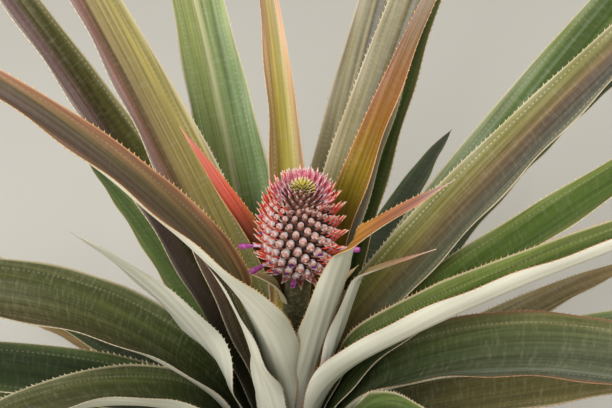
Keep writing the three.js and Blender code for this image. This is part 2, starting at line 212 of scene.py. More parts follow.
UPPER = {
    "olive_purple": leaf_finish(
        "waxy leaf, olive edge and purple-brown middle",
        [(0, "#a09a66"), (0.08, "#82833c"), (0.24, "#7b7238"), (0.38, "#74603e"), (0.5, "#5e4c40"),
         (0.62, "#504a46"), (0.76, "#4c524e"), (0.9, "#535a50"), (1, "#9a9a86")],
        along=[(0, "#47531f"), (0.22, "#85893c"), (0.4, "#7a6f48"), (0.7, "#6e5f54"), (1, "#8a8074")],
        along_share=0.25, foot=0.3, dots=0.4, dot_share=0.4),
    "lavender_olive": leaf_finish(
        "waxy leaf, lavender edge, pink band and olive side",
        [(0, "#b8aab0"), (0.1, "#a07c7c"), (0.26, "#8c6450"), (0.34, "#5f4426"), (0.42, "#8a7748"),
         (0.7, "#958648"), (0.92, "#8f8446"), (1, "#b0a47c")]),
    "lavender_brown": leaf_finish(
        "waxy leaf, lavender-brown and olive",
        [(0, "#aea4a4"), (0.14, "#806a68"), (0.4, "#6c524c"), (0.5, "#4c4020"),
         (0.8, "#4e4e1e"), (1, "#8e865a")],
        dots=0.42, dot_share=0.35),
    "cream_stripe": leaf_finish(
        "waxy leaf, green with a cream stripe",
        [(0, "#8c9658"), (0.3, "#7c8444"), (0.42, "#858a4a"), (0.47, "#c9c49a"), (0.55, "#78864a"),
         (0.8, "#66803e"), (1, "#94a268")],
        along=[(0, "#3c561e"), (0.45, "#4e682a"), (0.62, "#8a8c4e"), (1, "#a09a70")],
        along_share=0.42),
    "rosy_yellow": leaf_finish(
        "young leaf, yellow-green with red-brown edges",
        [(0, "#bc7c60"), (0.14, "#c29c76"), (0.28, "#a07a38"), (0.5, "#b0a244"), (0.7, "#aaa45c"),
         (0.88, "#bfa688"), (1, "#c58468")],
        along=[(0, "#9c9430"), (0.55, "#aa9c44"), (0.8, "#bf9c86"), (1, "#c8aea6")],
        along_share=0.4, edge="#dcc0ac", foot=0.2, dots=0.3, dot_share=0.45),
    "brown_grey": leaf_finish(
        "waxy leaf, brownish grey",
        [(0, "#9c9070"), (0.2, "#787046"), (0.42, "#736840"), (0.5, "#4c4632"), (0.6, "#756e58"),
         (0.85, "#807a6e"), (1, "#a49c8a")], foot=0.5),
    "flushed": leaf_finish(
        "young leaf, mustard foot, red-brown flush and lavender tip",
        [(0, "#8c5420"), (0.22, "#847010"), (0.5, "#7f6e04"), (0.8, "#807208"), (1, "#a06434")],
        along=[(0, "#6f6808"), (0.44, "#7f7204"), (0.52, "#886410"), (0.6, "#904e1c"), (0.68, "#8c4c38"),
               (0.8, "#86706c"), (1, "#b5a8a4")],
        along_share=0.65, edge="#d8a070", fleck=0.12, foot=0.1),
    "folded": leaf_finish(
        "young leaf, golden fold and purple-pink end",
        [(0, "#c8903a"), (0.4, "#9c7c20"), (1, "#c07440")],
        along=[(0, "#8f8a3a"), (0.6, "#a88828"), (0.7, "#b07c24"), (0.8, "#a4583a"), (0.9, "#a86c6c"),
               (1, "#d3c2c2")],
        along_share=0.75, edge="#dc9c50", fleck=0.1, foot=0.3),
    "pale_folded": leaf_finish(
        "young leaf, yellow fold and pale pink end",
        [(0, "#b0705a"), (0.2, "#b8a468"), (1, "#b89a60")],
        along=[(0, "#8f8a3a"), (0.64, "#c09c44"), (0.76, "#b3aa78"), (0.9, "#b08478"), (1, "#d3b8b8")],
        along_share=0.75, edge="#b85c4c", fleck=0.1, foot=0.3),
    "red_edged": leaf_finish(
        "waxy leaf, dark trough with red-pink edges",
        [(0, "#c0a080"), (0.1, "#8c6c58"), (0.26, "#5c4a34"), (0.42, "#2a2c16"), (0.55, "#2e3218"),
         (0.7, "#545428"), (0.84, "#84683c"), (0.95, "#a06a48"), (1, "#c89068")],
        along=[(0, "#4c5420"), (0.3, "#5c5a28"), (0.5, "#7c5c48"), (1, "#96706a")], along_share=0.3,
        edge="#cf9c70", fleck=0.08),
    # painted shade: a real deep green, darkened further, most of all along the middle of the blade
    "shade_darkened_green": leaf_finish(
        "waxy leaf, deep green darkened with painted shade",
        [(0, "#44522a"), (0.25, "#243411"), (0.5, "#202e0e"), (0.75, "#233210"), (1, "#44522a")],
        edge="#8c8660", fleck=0.1),
    "grass_green": leaf_finish(
        "waxy leaf, grass green",
        [(0, "#6e783a"), (0.25, "#465c1c"), (0.5, "#40541a"), (0.75, "#445a1e"), (1, "#6c743a")], fleck=0.16),
    "bright_green": leaf_finish(
        "waxy leaf, fresh green",
        [(0, "#667838"), (0.25, "#3e581a"), (0.5, "#365018"), (0.75, "#3a541a"), (1, "#607238")], fleck=0.22),
    "grey_lined": leaf_finish(
        "waxy leaf, grey-green with pale lines",
        [(0, "#867e4c"), (0.07, "#5c602c"), (0.14, "#7c7a48"), (0.19, "#4c5426"), (0.5, "#454c36"),
         (0.76, "#565a48"), (0.8, "#84887a"), (0.85, "#565c50"), (0.93, "#62665c"), (1, "#8a6a54")],
        along=[(0, "#2c3c14"), (0.25, "#36481a"), (0.5, "#4c5234"), (0.8, "#5a5448"), (1, "#7a725a")],
        along_share=0.4, edge="#84543c"),
    "olive_brown": leaf_finish(
        "waxy leaf, olive-brown with a purple edge",
        [(0, "#a08c78"), (0.05, "#5c3c38"), (0.16, "#4a3c26"), (0.5, "#4c5026"),
         (0.8, "#4a5224"), (1, "#707450")],
        along=[(0, "#364814"), (0.25, "#42521e"), (0.5, "#52522a"), (1, "#685c40")],
        along_share=0.45, fleck=0.26),
    "drying": leaf_finish(
        "ageing leaf, olive drying to straw",
        [(0, "#7c7446"), (0.3, "#565228"), (0.5, "#4e4c24"), (0.7, "#585428"), (1, "#7e7446")],
        along=[(0, "#464a22"), (0.5, "#5e542c"), (0.8, "#84683c"), (1, "#ac8c5a")],
        along_share=0.5, fleck=0.24, roughness=0.6),
    "dry": leaf_finish(
        "dead leaf, straw brown",
        [(0, "#967c4c"), (0.3, "#7c643a"), (0.5, "#6c5630"), (0.7, "#7a6238"), (1, "#98804e")],
        along=[(0, "#605430"), (0.4, "#7a6238"), (1, "#ac905c")],
        along_share=0.5, fleck=0.16, roughness=0.75),
    "coral": leaf_finish(
        "stalk leaf, coral red with orange edges",
        [(0, "#d8843c"), (0.25, "#c8503c"), (0.5, "#d8604c"), (0.75, "#c84c38"), (1, "#d8843c")],
        along=[(0, "#3e3a1c"), (0.36, "#4c4020"), (0.46, "#8a4426"), (0.58, "#c84c34"), (0.85, "#dc7460"),
               (1, "#e8a090")],
        along_share=0.78, edge="#c88444", fleck=0.1, foot=0.6),
    # painted light: a real pale straw, made paler still to stand in for light that the fruit's shade keeps
    # off the stalk leaves
    "lightened_amber": leaf_finish(
        "stalk leaf, pale straw lightened with painted light",
        [(0, "#c8b868"), (0.3, "#ece2b0"), (0.7, "#f2eac4"), (1, "#ccb868")],
        along=[(0, "#e8deac"), (0.6, "#eee2aa"), (1, "#c8946c")],
        along_share=0.5, edge="#c8ac60", fleck=0.1, foot=0),
}
print(len(UPPER), "upper sides")

# %% [markdown]
# The underside is covered with tiny grey-white scales that keep water in. They make it
# chalky and matt, with fine greenish lines where the fibres run. The horny edge and the
# spines on it are pale on old leaves and red or golden on young ones.

# %% The underside and the spines
FIBRE_LOW, FIBRE_HIGH, FIBRE_SHARE = 0.42, 0.75, 0.7
SPINE_GRAIN = 160


def underside_finish(name, pale, line):
    material, tree, shader = new_finish(name, 0.72)
    metres = node(tree, "Attribute", {"attribute_name": "metres"}).outputs["Vector"]
    lines = streaks(tree, metres, (1 / LINE_SPACING, 5, 1), {"Detail": 3})
    share = node(tree, "MapRange", {1: FIBRE_LOW, 2: FIBRE_HIGH, 3: 0, 4: FIBRE_SHARE}, {0: lines})
    colour = node(tree, "Mix", {"data_type": "RGBA", 6: linear(pale), 7: linear(line)}, {0: share})
    coat(tree, shader, colour.outputs[2], lines, 0.4, 0.5)
    return material


def spine_finish(name, colour, tip):
    material, tree, shader = new_finish(name, 0.5)
    metres = node(tree, "Attribute", {"attribute_name": "metres"}).outputs["Vector"]
    grain = node(tree, "TexNoise", {"Scale": SPINE_GRAIN, "Detail": 1}, {"Vector": metres})
    mixed = node(tree, "Mix", {"data_type": "RGBA", 6: linear(colour), 7: linear(tip)}, {0: grain})
    tree.links.new(mixed.outputs[2], shader.inputs["Base Color"])
    return material


UNDER = {
    "chalk": underside_finish("leaf underside, chalky scales", "#cfcdbc", "#a6a88e"),
    "cream": underside_finish("young leaf underside, creamy scales", "#e0ddcc", "#c6c4ac"),
    "dull": underside_finish("old leaf underside, dull scales", "#b5ab90", "#8c8264"),
    "rosy": underside_finish("stalk leaf underside, rosy scales", "#dca48c", "#c4785c"),
    # painted light: a real straw underside, made paler still to stand in for light that the fruit's shade
    # keeps off it
    "straw": underside_finish("stalk leaf underside, straw scales", "#f8f0c8", "#e2d49c"),
}
SPINES = {
    "horn": spine_finish("horny spine, pale", "#e4dcc4", "#b89c74"),
    "red": spine_finish("horny spine, red-brown", "#b06a48", "#d8ac80"),
    "gold": spine_finish("horny spine, golden", "#d99a4a", "#e0c898"),
    "brown": spine_finish("horny spine, brown", "#7d5840", "#b0906c"),
}

# %% [markdown]
# A leaf grows from the stem by one rule, the same that the solids follow. Its foot clasps
# the stem and climbs steeply. The blade then bends over towards its tip, and its section is
# a trough. The inner leaves are listed, one row for each leaf that the picture shows,
# and the old leaves below turn by the golden angle and lie ever flatter. Lengths are in
# millimetres and angles in degrees, as on the drawing, and become metres when they are used.
# A shown leaf's row names its direction, length, width, the angles at which it rises and ends,
# and its finish.

# %% The leaves' own rows
STEM_HEIGHT, STEM_FOOT_RADIUS, STEM_RADIUS, STEM_NECK_RADIUS = 282, 24, 31, 13
STEM_BULGE_HEIGHT, STEM_SHOULDER_HEIGHT = 95, 130
LEAF_COUNT = 46
FOOT_HEIGHTS = (274, 42)
FOOT_RISES = (80, 70)
FOOT_HALF_ANGLE = 34
FOOT_THICKNESS = 2.4
FOOT_FACET_ROOM = 0.05
GAP = 0.3
TAPER_LENGTH_RATIO = 0.66
STATION_CROWDING = 0.45
FOLD_HALF_LENGTH = 0.035
TIP_CLOSING = 0.35
GOLDEN_ANGLE = 137.508
STALK_RADIUS = 11

HABIT = dict(
    roll=0, curl=38, sweep=0, bend=1.3, sheath=95, at=0.5, drop=0, turn=0, axis_x=0, under="chalk",
    spine="horn")


def shown(az, length, width, rise, tip, look, **habit):
    return dict(az=az, length=length, width=width, rise=rise, tip=tip, look=look, **habit)


ROSETTE = [
    shown(44, 450, 36, 71, 54, "flushed", under="cream", spine="gold"),
    shown(312, 356, 50, 82.5, 70, "folded", curl=42, bend=1, at=0.7, drop=25, turn=35, under="cream",
          spine="gold"),
    shown(89, 490, 42, 78, 39, "rosy_yellow", roll=22, curl=50, bend=1.9, sweep=14),
    shown(254, 640, 57, 78, 38.5, "red_edged", roll=-27, curl=83, sweep=-57.5, under="cream", spine="gold"),
    shown(57, 700, 52, 64, 45, "brown_grey", sweep=-3),
    shown(336, 285, 32, 82, 74, "pale_folded", roll=-18, curl=45, at=0.74, drop=38, turn=8, under="cream",
          spine="red"),
    shown(137, 760, 68, 60, 33, "lavender_olive", roll=10, curl=46, bend=1.5, sweep=-2),
    shown(325, 760, 68, 55, 34, "grass_green", roll=-10, curl=80, bend=1.5, sweep=8.5, under="cream",
          spine="red"),
    shown(245.5, 338, 36, 86, 64, "shade_darkened_green", roll=-29, curl=43, sweep=-17.5, under="cream"),
    shown(18, 760, 68, 54, 38, "olive_purple"),
    shown(148, 760, 60, 60, 38, "lavender_brown", roll=12),
    shown(70, 700, 52, 62, 45, "brown_grey", sweep=-6),
    shown(2, 680, 60, 51, 34, "grass_green"),
    shown(180, 332, 50, 70.5, 46, "shade_darkened_green", roll=56, curl=34, bend=2, sweep=12),
    shown(59, 600, 50, 61, 45, "grass_green", spine="gold"),
    shown(348, 720, 73, 47, -17, "grey_lined", roll=29, curl=62, bend=1.5, sweep=-32, spine="brown"),
    shown(110, 760, 68, 60, 40, "cream_stripe"),
    shown(182, 720, 72, 55, -22, "olive_brown", roll=-30, curl=62, bend=1.8, sweep=34, under="cream"),
    shown(34, 760, 64, 53, 31, "grass_green"),
    shown(202, 600, 72, 48, -32, "olive_brown", roll=15, curl=60, bend=2, sweep=33),
    shown(308, 540, 64, 63, -37, "bright_green", roll=35, curl=60, bend=2.1, sweep=-15),
    shown(190, 620, 62, 39, -6, "shade_darkened_green", roll=-10),
    shown(346, 600, 60, 36, 14, "drying", roll=10, spine="brown"),
]
STALK_HABIT = dict(sheath=18, curl=45, footRise=78, look="lightened_amber", under="rosy", spine="gold")
STALK_LEAVES = [
    dict(az=148, foot=388, length=172, width=24, rise=56, tip=50, look="coral"),
    dict(az=10, foot=345, length=88, width=18, rise=66, tip=48),
    dict(az=75, foot=362, length=88, width=18, rise=58, tip=48, look="coral"),
    dict(az=200, foot=395, length=72, width=15, rise=56, tip=30, under="straw"),
]
FIRST_DRYING_LEAF = 36
FIRST_DRY_LEAF = 41
OLD_LENGTHS, OLD_WIDTHS = (660, 470), (60, 50)
OLD_RISES, OLD_TIPS = (30, 2), (-8, -22)

FRUIT_BASE = Vector((10.5, 0, 424))
FRUIT_LEAN = math.radians(2)
ANKLE_SHARE, KNEE_SHARE = 0.3, 0.4
lean_axis = Vector((math.sin(FRUIT_LEAN), 0, math.cos(FRUIT_LEAN)))
stalk_foot = Vector((0, 0, STEM_HEIGHT + GAP))
stalk_head = FRUIT_BASE - lean_axis * GAP
stalk_rise = stalk_head.z - stalk_foot.z
stalk_ankle = stalk_foot + Vector((0, 0, ANKLE_SHARE * stalk_rise))
stalk_knee = stalk_head - lean_axis * KNEE_SHARE * stalk_rise
stalk_route = interpolate_bezier(stalk_foot, stalk_ankle, stalk_knee, stalk_head, 101)


def stalk_centre(height):
    return next(point.x for point in stalk_route if point.z >= height)


def lerp(a, b, share):
    return a + (b - a) * share


def smooth(value, low, high):
    share = np.clip((value - low) / (high - low), 0, 1)
    return share * share * (3 - 2 * share)


def stem_radius(z):
    bulge = lerp(STEM_FOOT_RADIUS, STEM_RADIUS, smooth(z, 0, STEM_BULGE_HEIGHT))
    down = np.clip((STEM_HEIGHT - z) / (STEM_HEIGHT - STEM_SHOULDER_HEIGHT), 0, 1)
    return lerp(STEM_NECK_RADIUS, bulge, down ** 0.8)


def old_leaf(rank):
    older = rank - len(ROSETTE)
    age = older / (LEAF_COUNT - 1 - len(ROSETTE))
    # every other old leaf gets the green that is darkened with painted shade
    look = "grass_green" if rank % 2 else "shade_darkened_green"
    if rank >= FIRST_DRYING_LEAF:
        look = "drying"
    if rank >= FIRST_DRY_LEAF:
        look = "dry"
    ageing = rank >= FIRST_DRYING_LEAF
    return dict(
        az=(270 + GOLDEN_ANGLE * older) % 360, length=lerp(*OLD_LENGTHS, age) + 40 * math.sin(2.3 * rank),
        width=lerp(*OLD_WIDTHS, age), rise=lerp(*OLD_RISES, age),
        tip=lerp(*OLD_TIPS, age) + 6 * math.sin(1.7 * rank), roll=8 * math.sin(3.1 * rank), look=look,
        under="dull" if ageing else "chalk", spine="brown" if ageing else "horn")


def complete(row, core):
    leaf = {**HABIT, **row, "core": core}
    leaf["foot_radius"] = core + GAP + FOOT_THICKNESS / 2 + FOOT_FACET_ROOM * core
    return leaf


def leaf_at(rank):
    row = ROSETTE[rank] if rank < len(ROSETTE) else old_leaf(rank)
    down = rank / (LEAF_COUNT - 1)
    foot = lerp(*FOOT_HEIGHTS, down ** 0.85)
    return complete({**row, "foot": foot, "footRise": lerp(*FOOT_RISES, down)}, stem_radius(foot))


leaves = [leaf_at(rank) for rank in range(LEAF_COUNT)]
stalk_leaves = [
    complete({**STALK_HABIT, **row, "axis_x": stalk_centre(row["foot"])}, STALK_RADIUS + 1)
    for row in STALK_LEAVES]
print(len(leaves), "leaves and", len(stalk_leaves), "stalk leaves")

# %% [markdown]
# A point of a leaf is named by three numbers: across, from -1 to 1, the distance along the
# midrib, and 1 or -1 for the upper or the lower skin. The rule walks the midrib in small
# steps, turns the section to it, and puts the point on its trough. The blade is a lens, thin
# at its edges. It has shallow ribs, and its edges wave a little, which no real leaf is
# without.

# %% The rule that carries a flat blade to its place
MIDRIB_STEPS = 200
SKIN_THICKNESS = 2.8
TIP_SKIN = 0.7
RIB_SPACING = 9
RIB_HEIGHT = 0.35
WAVE_LENGTH = 84
WAVE_HEIGHT = 1.1
POINT_LENGTH = 26
POINT_SHARE = 0.1
POINT_WIDTH = 0.5
SWEEP_SPAN = (0.05, 0.7)
ROLL_END = 0.5
FOOT_WIDENING = 1.6
CLASP_NEAR, CLASP_FAR, CLASP_LARGEST = 0.7, 2, 1.4
CLOSING_START = 0.4
THINNING_START = 0.5
EDGE_THINNING = 0.8
FLAT_START = 0.3
FLAT_HALF_WIDTH = 12


def folded(leaf, t):
    return smooth(t, leaf["at"] - FOLD_HALF_LENGTH, leaf["at"] + FOLD_HALF_LENGTH)


def midrib(leaf):
    along = np.linspace(0, leaf["length"], MIDRIB_STEPS + 1)
    t = along / leaf["length"]
    blade = leaf["rise"] + (leaf["tip"] - leaf["rise"]) * t ** leaf["bend"]
    sheath = (leaf["footRise"] - leaf["rise"]) * (1 - smooth(along, 0, 2 * leaf["sheath"]))
    up = np.radians(blade + sheath - folded(leaf, t) * leaf["drop"])
    out = np.radians(leaf["az"] + leaf["sweep"] * smooth(t, *SWEEP_SPAN) + folded(leaf, t) * leaf["turn"])
    ahead = np.stack([np.cos(up) * np.cos(out), np.cos(up) * np.sin(out), np.sin(up)], 1)
    side = np.stack([-np.sin(out), np.cos(out), 0 * out], 1)
    over = np.cross(ahead, side)
    roll = np.radians(leaf["roll"]) * smooth(along, leaf["sheath"], ROLL_END * leaf["length"])[:, None]
    az = math.radians(leaf["az"])
    radius = leaf["foot_radius"]
    foot = [leaf["axis_x"] + radius * math.cos(az), radius * math.sin(az), leaf["foot"]]
    steps = ahead[:-1] * (leaf["length"] / MIDRIB_STEPS)
    points = np.vstack([[0, 0, 0], np.cumsum(steps, 0)]) + foot
    sides = side * np.cos(roll) + over * np.sin(roll)
    overs = over * np.cos(roll) - side * np.sin(roll)
    return along, points, sides, overs


def blade_width(leaf, along):
    foot_width = 2 * math.radians(FOOT_HALF_ANGLE) * leaf["foot_radius"]
    full = lerp(foot_width, leaf["width"], smooth(along, 0, FOOT_WIDENING * leaf["sheath"]))
    left = leaf["length"] - along
    taper = np.clip(left / leaf["length"] / TAPER_LENGTH_RATIO, 0, 1) ** 0.8
    point = np.clip(left / min(POINT_LENGTH, POINT_SHARE * leaf["length"]), 0, 1) ** 0.6
    return np.maximum(POINT_WIDTH, full * taper * point)


def on_leaf(leaf, across, along, skin):
    rib, points, sides, overs = leaf["midrib"]
    t = along / leaf["length"]
    point, side, over = [
        np.stack([np.interp(along, rib, values[:, i]) for i in range(3)], 1)
        for values in (points, sides, overs)]
    blade = leaf["width"] / 2 / math.radians(leaf["curl"])
    from_axis = np.hypot(point[:, 0] - leaf["axis_x"], point[:, 1])
    own = smooth(from_axis, CLASP_NEAR * blade, CLASP_FAR * blade)
    radius = lerp(np.minimum(from_axis, CLASP_LARGEST * blade), blade, own)
    radius = radius * (1 - TIP_CLOSING * smooth(t, CLOSING_START, 1))
    half_width = blade_width(leaf, along) / 2
    angle = -across * half_width / radius
    full = min(SKIN_THICKNESS, 0.06 * leaf["width"] + 0.5)
    thickness = lerp(full, TIP_SKIN, smooth(t, THINNING_START, 1)) * (1 - EDGE_THINNING * np.abs(across) ** 3)
    flat = smooth(along, FLAT_START * leaf["sheath"], leaf["sheath"])
    flat = flat * np.minimum(1, half_width / FLAT_HALF_WIDTH)
    ribs = RIB_HEIGHT * np.cos(2 * math.pi * across * half_width / RIB_SPACING) * (1 - across ** 2)
    phase = 2 * math.pi * along / WAVE_LENGTH + leaf["az"]
    wave = WAVE_HEIGHT * np.abs(across) ** 3 * np.sin(phase + np.sign(across))
    lift = skin * thickness / 2 + flat * (ribs + wave)
    place = point + side * ((radius - lift) * np.sin(angle))[:, None]
    return place + over * (radius - (radius - lift) * np.cos(angle))[:, None]


for leaf in leaves + stalk_leaves:
    leaf["midrib"] = midrib(leaf)
tips = np.array([leaf["midrib"][1][-1] for leaf in leaves])
print("tips reach from", tips.min(0).round(), "to", tips.max(0).round(), "mm")

# %% [markdown]
# The blade is modelled once, flat and square: a grid, drawn out to a closed slab with an
# upper and a lower skin. Each leaf is a copy of it that the rule carries to its place. A
# spine is a small thorn that is modelled once too. It is a cone whose point is pulled
# forward, as the teeth on a pineapple leaf hook towards the tip. A row of them along each
# edge is set by the same rule and joined to the blade, with their roots sunk in it.

# %% One blade and one spine
BLADE_COLUMNS = 28
BLADE_STATIONS = 100
SPINE_SPACING = 5.4
SPINE_LENGTH = 3.0
SPINE_RADIUS = 1.1
SPINE_SIDES = 5
SPINE_FLATNESS = 0.6
SPINE_HOOK = 0.75
SMOOTH_ANGLE = math.radians(40)


def only(piece):
    bpy.ops.object.select_all(action="DESELECT")
    piece.select_set(True)
    bpy.context.view_layer.objects.active = piece


def edit_all():
    bpy.ops.object.mode_set(mode="EDIT")
    bpy.ops.mesh.select_all(action="SELECT")


def close_up():
    edit_all()
    bpy.ops.mesh.normals_make_consistent(inside=False)
    bpy.ops.object.mode_set(mode="OBJECT")


def coordinates(mesh):
    places = np.empty(len(mesh.vertices) * 3)
    mesh.vertices.foreach_get("co", places)
    return places.reshape(-1, 3)


bpy.ops.mesh.primitive_grid_add(
    x_subdivisions=BLADE_COLUMNS, y_subdivisions=BLADE_STATIONS, size=2, calc_uvs=False)
blade_master = bpy.context.object
edit_all()
bpy.ops.mesh.extrude_region_move(TRANSFORM_OT_translate={"value": (0, 0, 2)})
edit_all()
bpy.ops.transform.translate(value=(0, 0, -1))
close_up()
for face in blade_master.data.polygons:
    face.material_index = 0 if face.normal.z > 0.5 else 1 if face.normal.z < -0.5 else 2
print("blade has", len(blade_master.data.polygons), "faces")

bpy.ops.mesh.primitive_cone_add(
    vertices=SPINE_SIDES, radius1=SPINE_RADIUS, radius2=0, depth=SPINE_LENGTH,
    location=(0, 0, SPINE_LENGTH / 2))
spine_master = bpy.context.object
bpy.ops.object.transform_apply(location=True, rotation=True, scale=True)
edit_all()
bpy.ops.transform.resize(value=(1, SPINE_FLATNESS, 1), center_override=(0, 0, 0))
bpy.ops.mesh.select_all(action="DESELECT")
bpy.ops.object.mode_set(mode="OBJECT")
for vertex in spine_master.data.vertices:
    vertex.select = vertex.co.z > 0.9 * SPINE_LENGTH
bpy.ops.object.mode_set(mode="EDIT")
bpy.ops.transform.translate(value=(SPINE_HOOK * SPINE_LENGTH, 0, -0.1 * SPINE_LENGTH))
bpy.ops.object.mode_set(mode="OBJECT")
print("spine has", len(spine_master.data.polygons), "faces")

# %% [markdown]
# Now the leaves grow. The copy's square coordinates say where each of its points lies on the
# leaf, and they are kept on the mesh as the measures that the finishes read.

# %% Grow the leaves
SPINE_START = 34
random = np.random.default_rng(7)


def measure(mesh, leaf, across, along, seed):
    metres = np.stack([across * blade_width(leaf, along) / 2, along, 0 * along], 1) * MM
    metres[:, 2] = seed
    mesh.attributes.new("across", "FLOAT", "POINT").data.foreach_set("value", (across + 1) / 2)
    mesh.attributes.new("along", "FLOAT", "POINT").data.foreach_set("value", along / leaf["length"])
    mesh.attributes.new("metres", "FLOAT_VECTOR", "POINT").data.foreach_set("vector", metres.ravel())


def spine_row(name, leaf, seed):
    own = coordinates(spine_master.data)
    faces = [list(face.vertices) for face in spine_master.data.polygons]
    start = min(SPINE_START, 0.2 * leaf["length"])
    steps = np.arange(start, leaf["length"] - POINT_LENGTH / 3, SPINE_SPACING)
    places, acrosses, alongs, corners = [], [], [], []
    for margin in (-1, 1):
        along = steps + random.uniform(-0.9, 0.9, len(steps))
        edge = np.full(len(along), float(margin))
        root = on_leaf(leaf, 0.985 * edge, along, 0)
        outward = root - on_leaf(leaf, 0.9 * edge, along, 0)
        forward = on_leaf(leaf, 0.985 * edge, along + 1, 0) - root
        outward /= np.linalg.norm(outward, axis=1)[:, None]
        forward /= np.linalg.norm(forward, axis=1)[:, None]
        normal = np.cross(forward, outward)
        size = random.uniform(0.8, 1.15, len(along)) * lerp(1, 0.55, along / leaf["length"])
        size *= min(1, 0.35 + leaf["width"] / 70)
        for i in range(len(along)):
            grown = own * size[i]
            corners += [[v + len(places) * len(own) for v in face] for face in faces]
            places.append(root[i] + grown @ np.stack([forward[i], normal[i], outward[i]]))
            acrosses.append(np.full(len(own), float(margin)))
            alongs.append(np.full(len(own), along[i]))
    mesh = bpy.data.meshes.new(name)
    mesh.from_pydata(np.concatenate(places) * MM, [], corners)
    mesh.materials.append(SPINES[leaf["spine"]])
    measure(mesh, leaf, np.concatenate(acrosses), np.concatenate(alongs), seed)
    return in_scene(name, mesh)


def grow_leaf(name, leaf, seed, node_name):
    piece = in_scene(name, blade_master.data.copy())
    square = coordinates(piece.data)
    part = (square[:, 1] + 1) / 2
    along = leaf["length"] * lerp(part, part ** 2, STATION_CROWDING)
    places = on_leaf(leaf, square[:, 0], along, square[:, 2]) * MM
    piece.data.vertices.foreach_set("co", places.ravel())
    for material in (UPPER[leaf["look"]], UNDER[leaf["under"]], SPINES[leaf["spine"]]):
        piece.data.materials.append(material)
    measure(piece.data, leaf, square[:, 0], along, seed)
    row = spine_row(name + "_spines", leaf, seed)
    only(piece)
    row.select_set(True)
    bpy.ops.object.join()
    close_up()
    bpy.ops.object.shade_smooth_by_angle(angle=SMOOTH_ANGLE)
    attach(piece, "root")
    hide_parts(node_name)
    return piece


for rank, leaf in enumerate(leaves):
    grow_leaf(f"leaf_{rank + 1:02d}_blade", leaf, 3.7 * rank, f"leaf_{rank + 1:02d}")
for number, leaf in enumerate(stalk_leaves, 1):
    grow_leaf(f"stalk_leaf_{number}_blade", leaf, 2.9 * number, f"stalk_leaf_{number}")
bpy.data.objects.remove(blade_master)
bpy.data.objects.remove(spine_master)
print("leaves grown")

# %% [markdown]
# The stem is a plain round body. It starts as a circle that is extruded ring by ring and
# scaled to the radius of its height. The scars of shed leaves ring it, so every other ring
# stands out a little.

# %% Round bodies
def drawn_up(sides, rings):
    radius, height = rings[0]
    bpy.ops.mesh.primitive_circle_add(vertices=sides, radius=radius, fill_type="NGON", calc_uvs=False)
    piece = bpy.context.object
    edit_all()
    bpy.ops.transform.translate(value=(0, 0, height))
    for next_radius, next_height in rings[1:]:
        bpy.ops.mesh.extrude_region_move(TRANSFORM_OT_translate={"value": (0, 0, next_height - height)})
        change = next_radius / radius
        bpy.ops.transform.resize(value=(change, change, 1), center_override=(0, 0, next_height))
        radius, height = next_radius, next_height
    return piece


def round_body(name, rings, sides):
    body = drawn_up(sides, [(radius * MM, height * MM) for radius, height in rings])
    body.name = name
    close_up()
    return body


def mottled_finish(name, colours, spacing, roughness, relief):
    material, tree, shader = new_finish(name, roughness)
    place = node(tree, "TexCoord").outputs["Object"]
    spots = {"Scale": 1 / (spacing * MM), "Detail": 5, "Roughness": 0.6}
    noise = node(tree, "TexNoise", spots, {"Vector": place})
    positions = np.linspace(NOISE_LOW, NOISE_HIGH, len(colours))
    ramp = node(tree, "ValToRGB", {"stops": list(zip(positions, colours))}, {0: noise})
    coat(tree, shader, ramp.outputs[0], noise, 0.6, relief)
    return material


def wear(piece, node_name, slot, *materials):
    for material in materials:
        piece.data.materials.append(material)
    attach(piece, "root")
    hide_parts(node_name)


SCAR_SPACING = 6
SCAR_DEPTH = 1.2
scars = []
for i in range(STEM_HEIGHT // SCAR_SPACING * 2 + 1):
    height = i * SCAR_SPACING / 2
    scars.append((stem_radius(height) - (SCAR_DEPTH if i % 2 else 0), height))
stem = round_body("stem_scarred", scars, 40)
wear(stem, "stem", "stem", mottled_finish(
    "plant stem, dull brown with leaf scars", ["#4a3c2a", "#6f5f45", "#93815f"], 8, 0.85, 1))
print("stem has", len(scars), "rings")

# %% [markdown]
# The flower stalk rises from the stem's neck and bends a little to meet the leaning fruit.
# It is a curve with a round section, which is then turned into a mesh.

# %% The flower stalk
bpy.ops.curve.primitive_bezier_curve_add()
stalk = bpy.context.object
stalk.name = "flower_stalk_skin"
low, high = stalk.data.splines[0].bezier_points
for point in (low, high):
    point.handle_left_type = "FREE"
    point.handle_right_type = "FREE"
low.co = stalk_foot * MM
low.handle_left = stalk_foot * MM
low.handle_right = stalk_ankle * MM
high.co = stalk_head * MM
high.handle_left = stalk_knee * MM
high.handle_right = (stalk_head + lean_axis) * MM
stalk.data.resolution_u = 40
stalk.data.bevel_depth = STALK_RADIUS * MM
stalk.data.bevel_resolution = 8
stalk.data.use_fill_caps = True
only(stalk)
bpy.ops.object.convert(target="MESH")
edit_all()
bpy.ops.mesh.remove_doubles(threshold=0.00001)
close_up()
bpy.ops.object.shade_smooth_by_angle(angle=SMOOTH_ANGLE)
wear(stalk, "flower_stalk", "stalk", mottled_finish(
    "flower stalk, green-brown with pale scurf", ["#4f4a34", "#6d6a48", "#9b957c"], 3, 0.65, 0.5))
print("stalk has", len(stalk.data.polygons), "faces")

# %% [markdown]
# The fruit is many small fruits round one core. Each is a lumpy shield with a dusty skin,
# three sepals that close over it in a point, and a bract, a long pointed scale, that starts
# under it. They follow the same spiral as the solids: each turns by the golden angle from
# the last and sits a little higher. The fruit ripens from below, so the upper fruitlets are
# smaller and sit closer together, and round the crown there are only small young bracts
# with nothing under them yet. There are more fruitlets than in the solids, as many as their
# real size gives. The shield, the sepal and the bract are each modelled once, in
# millimetres, with Z out of the fruit and Y up it.

